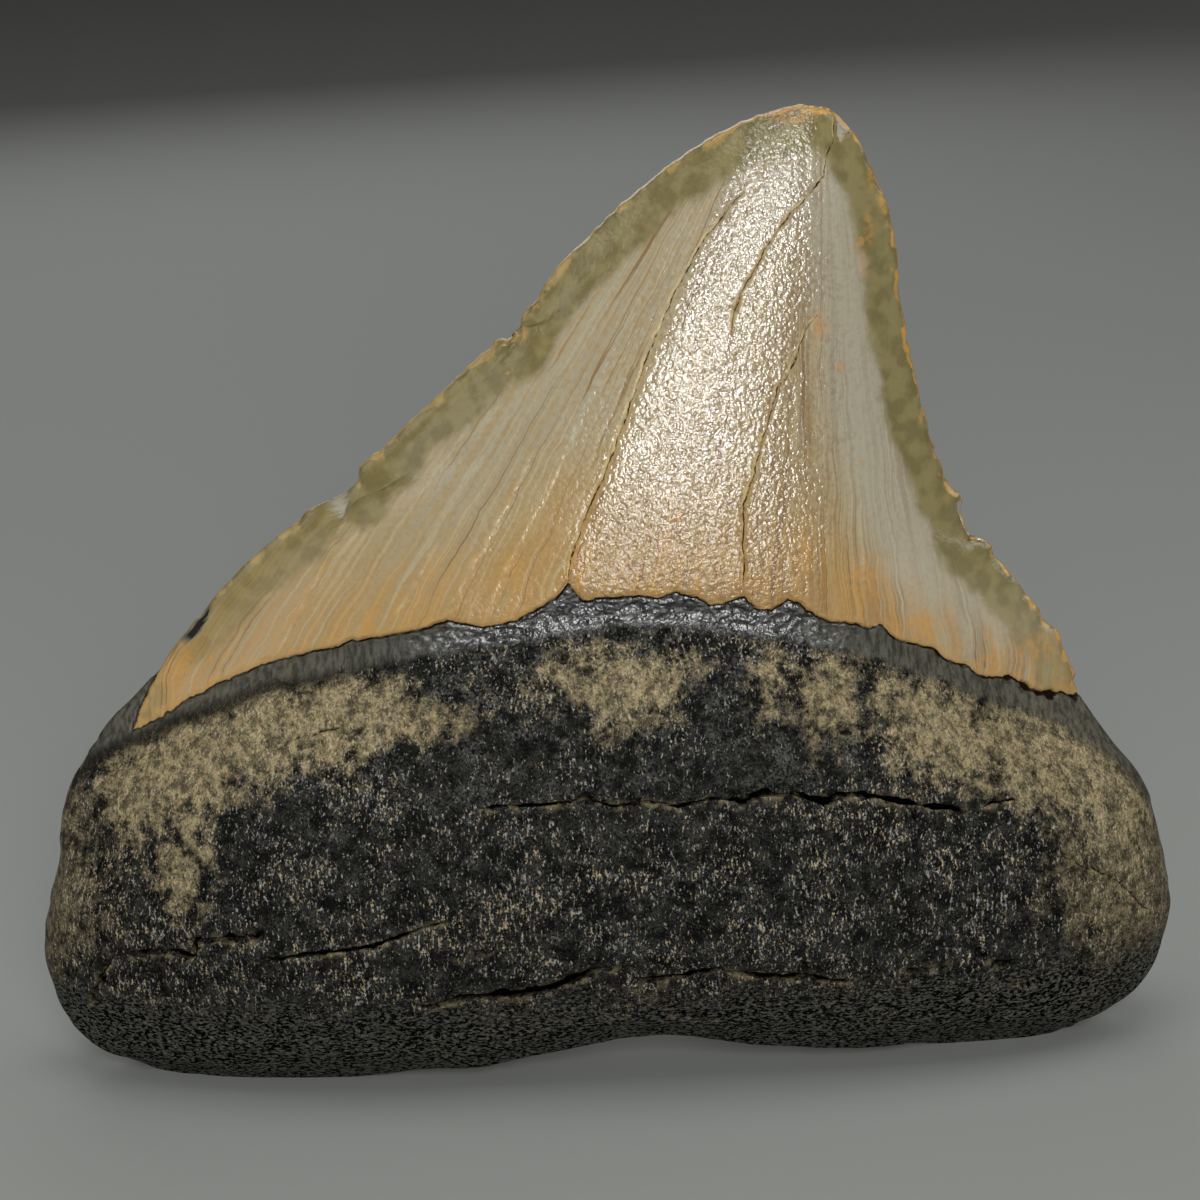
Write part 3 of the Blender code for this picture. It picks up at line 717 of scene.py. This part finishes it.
low = graded(plus(enamel_height, times(cloud, 14.0)), 10.0, 25.0, 1.0, 0.0)
soft_silk = plus(times(silk, 0.6), times(mottle, 0.4))
tan_share = larger(times(low, 0.9), graded(soft_silk, 0.46, 0.60, 0.0, 0.75))
enamel = tinted(tan_share, PALE_ENAMEL, TAN_ENAMEL)
near_band = times(graded(rim_distance, 13.0, 6.0), graded(soft_silk, 0.60, 0.44, 0.35, 1.0),
                  graded(aside, -22.0, -8.0, 0.35, 1.0))
pale_flank = times(graded(aside, 15.0, 22.0), graded(rim_distance, 10.0, 6.0),
                   graded(enamel_height, 0.5, 5.0))
enamel = tinted(larger(times(near_band, 0.8), times(pale_flank, 0.8)), enamel, BLUISH)
enamel = tinted(graded(silk_fine, 0.52, 0.66, 0.0, 0.45), enamel, SILK)
enamel = tinted(graded(silk_fine, 0.46, 0.34, 0.0, 0.35), enamel, TAN_ENAMEL)
orange_low = times(graded(enamel_height, 8.0, 0.5), graded(silk, 0.42, 0.58), 0.45)
enamel = tinted(orange_low, enamel, ORANGE)
enamel = tinted(times(lines_left, 0.8), enamel, BROWN_LINE)
enamel = tinted(times(lines_right, 0.45), enamel, BROWN_LINE)
enamel = tinted(times(pale_flank, 0.6), enamel, PALE_FLANK)

# painted shade in the low pits of the pebbled relief, in the shiny band
pit_shade = times(pebbled, graded(plus(pebbles, times(mottle, 0.6)), 0.84, 0.64))
enamel = tinted(times(pit_shade, 0.6), enamel, PIT_SHADE)

# olive band behind the cutting edge, then the amber edge itself
band_wave = plus(rim_distance, swing(grain(place, 0.35, 4.0, 0.6), 2.2))
fading = times(graded(aside, -30.0, -12.0, 0.85, 1.0), graded(enamel_height, 1.0, 9.0, 0.5, 1.0))
olive = tinted(graded(grain(place, 0.6, 2.0), 0.38, 0.62), OLIVE, PALE_OLIVE)
enamel = tinted(times(graded(band_wave, 3.7, 2.6), fading, 0.95), enamel, olive)
amber_width = graded(grain(place, 0.45, 3.0, 0.6), 0.44, 0.62, 0.10, 0.80)
amber_share = graded(maths("DIVIDE", rim_distance, amber_width), 1.2, 0.3)
amber = tinted(times(graded(mottle, 0.38, 0.60), graded(aside, 8.0, 20.0, 0.25, 1.0)), STRAW, AMBER)
enamel = tinted(times(amber_share, graded(aside, 8.0, 20.0, 0.65, 0.9)), enamel, amber)

# rust, veins and specks
rust_share = times(kept("rust"), graded(grain(place, 1.6, 4.0, 0.65), 0.38, 0.62), 0.6)
enamel = tinted(rust_share, enamel, ORANGE)
vein_colour = tinted(graded(grain(place, 0.8, 3.0), 0.42, 0.58), CREAM, ORANGE)
enamel = tinted(times(kept("vein"), graded(mottle, 0.34, 0.56, 0.1, 0.6)), enamel, vein_colour)
cells = add_node("ShaderNodeTexVoronoi", {"Vector": stretched(place, 0.30, 0.30, 0.22), "Scale": 1.0})
speck_size = graded(grain(place, 0.2, 2.0), 0.45, 0.65, 0.02, 0.14)
speck_edge = plus(cells.outputs["Distance"], swing(grain(place, 3.0, 3.0), 0.5))
speck_share = graded(maths("DIVIDE", speck_edge, speck_size), 1.0, 0.6)
enamel = tinted(times(speck_share, 0.6), enamel, ORANGE)
golden_edge = graded(plus(enamel_height, times(mottle, -1.6)), 0.1, -0.9, 0.0, 0.7)
enamel = tinted(golden_edge, enamel, GOLDEN)

# chips and hairline cracks
enamel = tinted(kept("chip"), enamel, CHIPPED)
enamel = tinted(kept("black_chip"), enamel, BLACK_CHIP)
on_crack = graded(kept("crown_crack_far"), 0.7, 0.5)
dotted = graded(grain(place, 1.8, 2.0), 0.40, 0.56, 0.25, 1.0)
# a painted highlight on each crack's raised left lip
lip_window = times(graded(crack_side, -0.36, -0.22), graded(crack_side, -0.06, -0.12))
lip_highlight = times(lip_window, on_crack, graded(grain(place, 1.0, 3.0), 0.40, 0.55), 0.55)
enamel = tinted(lip_highlight, enamel, CREAM)
# painted shade along the hairline cracks
crack_shade_line = times(graded(unsigned(crack_side), 0.10, 0.04), on_crack, dotted)
beside_crack = times(graded(unsigned(crack_side), 0.45, 0.25), on_crack)
enamel = tinted(crack_shade_line, enamel, CRACK_SHADE)

# bone of the root: black, packed with pale grains that lie along its fibres; the gold grains are their
# own colour, the blue-grey ones are painted glints
# the first colour is black painted shade for the root's cracks, pits and pores
SHADE_BLACK = (0.001, 0.001, 0.001)
CHARCOAL = (0.0040, 0.0040, 0.0034)
GREY_BONE = (0.030, 0.030, 0.026)
GOLD_GRAIN = (0.38, 0.30, 0.17)
BLUE_GRAIN_GLINT = (0.26, 0.26, 0.245)
TAN_BONE = (0.35, 0.28, 0.155)
PALE_TAN = (0.52, 0.44, 0.28)
DARK_TAN = (0.08, 0.068, 0.040)
ASHEN = (0.120, 0.120, 0.112)
SLATE = (0.085, 0.082, 0.064)
CRUMPLE_SHEEN = (0.15, 0.15, 0.145)
DARK_SLATE = (0.030, 0.029, 0.021)
CRUMPLE_SHADE = (0.008, 0.008, 0.009)
SEAM_SHADOW = (0.010, 0.006, 0.003)

patches = grain(place, 0.20, 3.0, 0.6)
marble = grain(place, 0.70, 4.0, 0.68)
speck = grain(place, 3.6, 2.0, 0.62)
fibre = grain(stretched(place, 4.2, 4.2, 1.3), 1.0, 2.0, 0.64)
dust = grain(stretched(place, 6.5, 6.5, 4.5), 1.0, 1.0, 0.6)
hue = grain(stretched(place, 2.8, 2.8, 1.6), 1.0, 1.0, 0.6)

in_middle = graded(unsigned(maths("SUBTRACT", aside, 3.0)), 22.0, 10.0)
dark_belt = times(in_middle, graded(up, 24.0, 28.0), graded(up, 36.0, 32.0))
rich = graded(plus(patches, times(marble, 0.6)), 0.62, 0.98)
rich = maths("SUBTRACT", rich, times(dark_belt, 0.5))
bone = tinted(graded(marble, 0.36, 0.66), CHARCOAL, GREY_BONE)
grain_share = plus(times(fibre, 0.65), times(dust, 0.35))
grain_share = plus(grain_share, swing(rich, 0.07))
grain_share = graded(grain_share, 0.525, 0.70)
grain_and_glint_colour = tinted(graded(plus(hue, times(rich, 0.10)), 0.50, 0.66), BLUE_GRAIN_GLINT, GOLD_GRAIN)
bone = tinted(times(grain_share, 0.95), bone, grain_and_glint_colour)

# ashen clouds, then weathered tan patches with marbled edges, and tan ends
ashen = times(graded(grain(place, 0.5, 3.0, 0.7), 0.48, 0.64), graded(up, 24.0, 31.0),
              graded(speck, 0.36, 0.60))
bone = tinted(times(ashen, 0.45), bone, ASHEN)
tan_edge = plus(kept("tan_patch"), plus(swing(marble, 12.0), swing(patches, 6.0)))
tan_edge = plus(tan_edge, graded(unsigned(aside), 10.0, 22.0, 0.0, 1.6))
ends = graded(unsigned(plus(aside, 3.0)), 32.0, 50.0, -3.5, 3.2)
ends = plus(ends, swing(marble, 9.0))
ends = maths("SUBTRACT", ends, graded(up, 17.0, 9.0, 0.0, 2.0))
tan_share = larger(graded(tan_edge, -1.5, 2.5, 0.0, 0.9),
                   graded(ends, -2.0, 2.5, 0.0, 0.55))
tan_grain = grain(stretched(place, 1.6, 1.6, 1.1), 1.0, 4.0, 0.75)
tan_bone = tinted(graded(tan_grain, 0.34, 0.62), DARK_TAN, TAN_BONE)
tan_bone = tinted(times(grain_share, 0.4), tan_bone, PALE_TAN)
tan_bone = tinted(times(graded(marble, 0.50, 0.38), 0.7), tan_bone, DARK_TAN)
bone = tinted(tan_share, bone, tan_bone)
# black painted shade in the pores
pore_shade = graded(plus(times(dust, 0.6), times(speck, 0.4)), 0.50, 0.42)
bone = tinted(times(pore_shade, between(tan_share, 0.75, 0.3)), bone, SHADE_BLACK)

# underside: grey, with pits drawn out sideways, painted black as shade in their hollows
pits = graded(grain(stretched(place, 2.4, 2.4, 4.6), 1.0, 3.0, 0.6), 0.47, 0.52)
base_share = graded(plus(up, times(patches, 6.0)), 14.5, 10.5)
porous = tinted(pits, SHADE_BLACK, tinted(graded(speck, 0.40, 0.62), GREY_BONE, SLATE))
bone = tinted(times(base_share, 0.92), bone, porous)

# smooth band under the enamel: slate with brush marks; in the middle it is crumpled, with silvery painted
# sheen and dark painted shade patched over the crumples
band_edge = plus(kept("band"), swing(marble, 1.8))
band_share = times(graded(band_edge, -0.3, 0.5), graded(enamel_height, 0.2, 0.0))
brushed = grain(stretched(place, 2.6, 2.6, 0.5), 1.0, 3.0, 0.65)
slate = tinted(graded(brushed, 0.36, 0.62), DARK_SLATE, SLATE)
crumple = grain(stretched(place, 1.5, 1.5, 2.6), 1.0, 4.0, 0.68)
# silvery painted sheen and dark painted shade, patched over the crumples
crumple_sheen_and_shade = tinted(graded(crumple, 0.44, 0.66), CRUMPLE_SHADE, CRUMPLE_SHEEN)
slate = tinted(in_middle, slate, crumple_sheen_and_shade)
bone = tinted(times(band_share, 0.92), bone, slate)
# painted shade in the groove along the band's lower edge on the left
groove_shade = times(graded(unsigned(kept("band")), 0.9, 0.1), graded(aside, -10.0, -28.0))
bone = tinted(times(groove_shade, 0.75), bone, CHARCOAL)
# pale crumbled lips of the root's cracks, paler on the lower lip as a painted highlight
crumb_and_highlight_share = times(kept("crumbs_and_highlight"), graded(mottle, 0.45, 0.60), 0.35)
bone = tinted(crumb_and_highlight_share, bone, TAN_BONE)
# painted black shade in the root's cracks and pits
bone = tinted(kept("crack_and_pit_shade"), bone, SHADE_BLACK)

in_enamel = graded(enamel_height, -0.03, 0.03)
colour = tinted(in_enamel, bone, enamel)
seam_share = graded(kept("seam_off"), 1.15, 0.7)
# painted shadow in the open seam under the enamel's lip
seam_shadow = times(seam_share, graded(mottle, 0.34, 0.54, 0.3, 1.0), graded(aside, -40.0, -18.0, 0.5, 1.0))
colour = tinted(seam_shadow, colour, SEAM_SHADOW)
tree.links.new(colour, shader.inputs["Base Color"])

# gloss: the enamel shines, the bone only glints in its grains
ENAMEL_IOR = 1.8
shine_enamel = graded(pebbles, 0.35, 0.65, 0.17, 0.27)
shine_bone = between(times(band_share, in_middle), 0.42, 0.28)
tree.links.new(between(in_enamel, shine_bone, shine_enamel), shader.inputs["Roughness"])
gloss_bone = graded(grain_share, 0.1, 0.9, 0.05, 0.50)
gloss_bone = between(base_share, gloss_bone, graded(pits, 0.2, 1.0, 0.0, 0.25))
gloss_bone = between(band_share, gloss_bone, between(in_middle, 0.15, 0.90))
dull_band = times(graded(rim_distance, 5.0, 3.0), graded(aside, 8.0, -4.0, 0.0, 0.6))
gloss_enamel = times(graded(pebbled, 0.2, 1.0, 0.62, 1.0), graded(enamel_height, 1.0, 13.0, 0.35, 1.0),
                     graded(up, 81.0, 74.0, 0.5, 1.0), maths("SUBTRACT", 1.0, dull_band))
gloss = between(in_enamel, times(gloss_bone, 0.48), gloss_enamel)
no_gloss = larger(larger(kept("crack_and_pit_shade"), seam_share), kept("black_chip"))
no_gloss = larger(no_gloss, times(beside_crack, in_enamel))
gloss = times(gloss, maths("SUBTRACT", 1.0, no_gloss))
tree.links.new(gloss, shader.inputs["Specular IOR Level"])

# fine relief in millimetres
relief_enamel = times(pebbles, pebbled, 0.23)
relief_bone = times(speck, 0.20)
relief_bone = plus(relief_bone, times(marble, 0.55))
relief_bone = plus(relief_bone, times(pits, graded(up, 12.0, 9.0, 0.0, 0.12)))
relief_band = plus(times(grain(place, 2.6, 1.0, 0.5), in_middle, 0.16), times(brushed, 0.03))
relief_bone = between(band_share, relief_bone, relief_band)
relief = between(in_enamel, relief_bone, relief_enamel)
shader.inputs["IOR"].default_value = ENAMEL_IOR
bump = add_node("ShaderNodeBump", {"Height": relief, "Distance": MM, "Strength": 1.0})
tree.links.new(bump.outputs[0], shader.inputs["Normal"])

tooth.data.materials.append(finish)
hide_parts("tooth")
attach(tooth, "root")


# Camera
# It looks down on the front face from a little above, and leans slightly to one side.
LENS = 90.0
ELEVATION = math.radians(17.0)
LEAN = math.radians(2.6)
AIM = Vector((0.63, 1.772, 41.19)) * MM
DISTANCE = 254.4 * MM

toward = Vector((0.0, math.cos(ELEVATION), -math.sin(ELEVATION)))
level = Vector((1.0, 0.0, 0.0))
upright = level.cross(toward)
right = level * math.cos(LEAN) - upright * math.sin(LEAN)
above = level * math.sin(LEAN) + upright * math.cos(LEAN)
camera = bpy.data.objects.new("camera", bpy.data.cameras.new("camera"))
bpy.context.scene.collection.objects.link(camera)
camera.data.lens = LENS
camera.data.sensor_width = 36.0
camera.data.clip_start = 0.01
camera.data.clip_end = 20.0
camera.matrix_world = Matrix.Translation(AIM - toward * DISTANCE) @ Matrix(
    (right, above, -toward)).transposed().to_4x4()
bpy.context.scene.camera = camera


# Floor and light
# A plain pale floor. A tall, narrow soft box behind the camera draws the bright band on
# the crown, a broad one hangs above, two dim ones stand at the sides and one behind.
FLOOR_SIZE = 6.0
PAPER = (0.285, 0.295, 0.280, 1)
ROOM = (1.0, 0.98, 0.94, 1)
ROOM_STRENGTH = 0.08
bpy.ops.mesh.primitive_plane_add(size=FLOOR_SIZE)
floor = bpy.context.object
floor.name = "floor"
paper = bpy.data.materials.new("pale_paper")
paper.use_nodes = True
paper_shader = paper.node_tree.nodes["Principled BSDF"]
paper_shader.inputs["Base Color"].default_value = PAPER
paper_shader.inputs["Roughness"].default_value = 0.9
floor.data.materials.append(paper)

LIGHTS = [
    # name, place in metres, width, height, lean in degrees, power
    ("front", (0.03, -0.475, 0.19), 0.155, 0.30, -20.0, 2.25),
    ("top", (0.0, -0.10, 0.60), 0.40, 0.40, 0.0, 1.15),
    ("left", (-0.45, -0.10, 0.30), 0.30, 0.30, 0.0, 0.30),
    ("right", (0.45, 0.10, 0.35), 0.30, 0.30, 0.0, 0.35),
    ("back", (-0.12, 0.55, 0.30), 0.50, 0.30, 0.0, 0.70),
]
for name, spot, width, tall, lean, power in LIGHTS:
    lamp = bpy.data.lights.new(name, "AREA")
    lamp.shape = "RECTANGLE"
    lamp.size = width
    lamp.size_y = tall
    lamp.energy = power
    stand = bpy.data.objects.new(name, lamp)
    bpy.context.scene.collection.objects.link(stand)
    stand.location = spot
    stand.rotation_euler = (AIM - Vector(spot)).to_track_quat("-Z", "Y").to_euler()
    stand.rotation_euler.rotate_axis("Z", math.radians(lean))

world = bpy.data.worlds.new("soft_room")
world.use_nodes = True
background = world.node_tree.nodes["Background"]
background.inputs["Color"].default_value = ROOM
background.inputs["Strength"].default_value = ROOM_STRENGTH
bpy.context.scene.world = world
bpy.context.scene.view_settings.view_transform = "Standard"
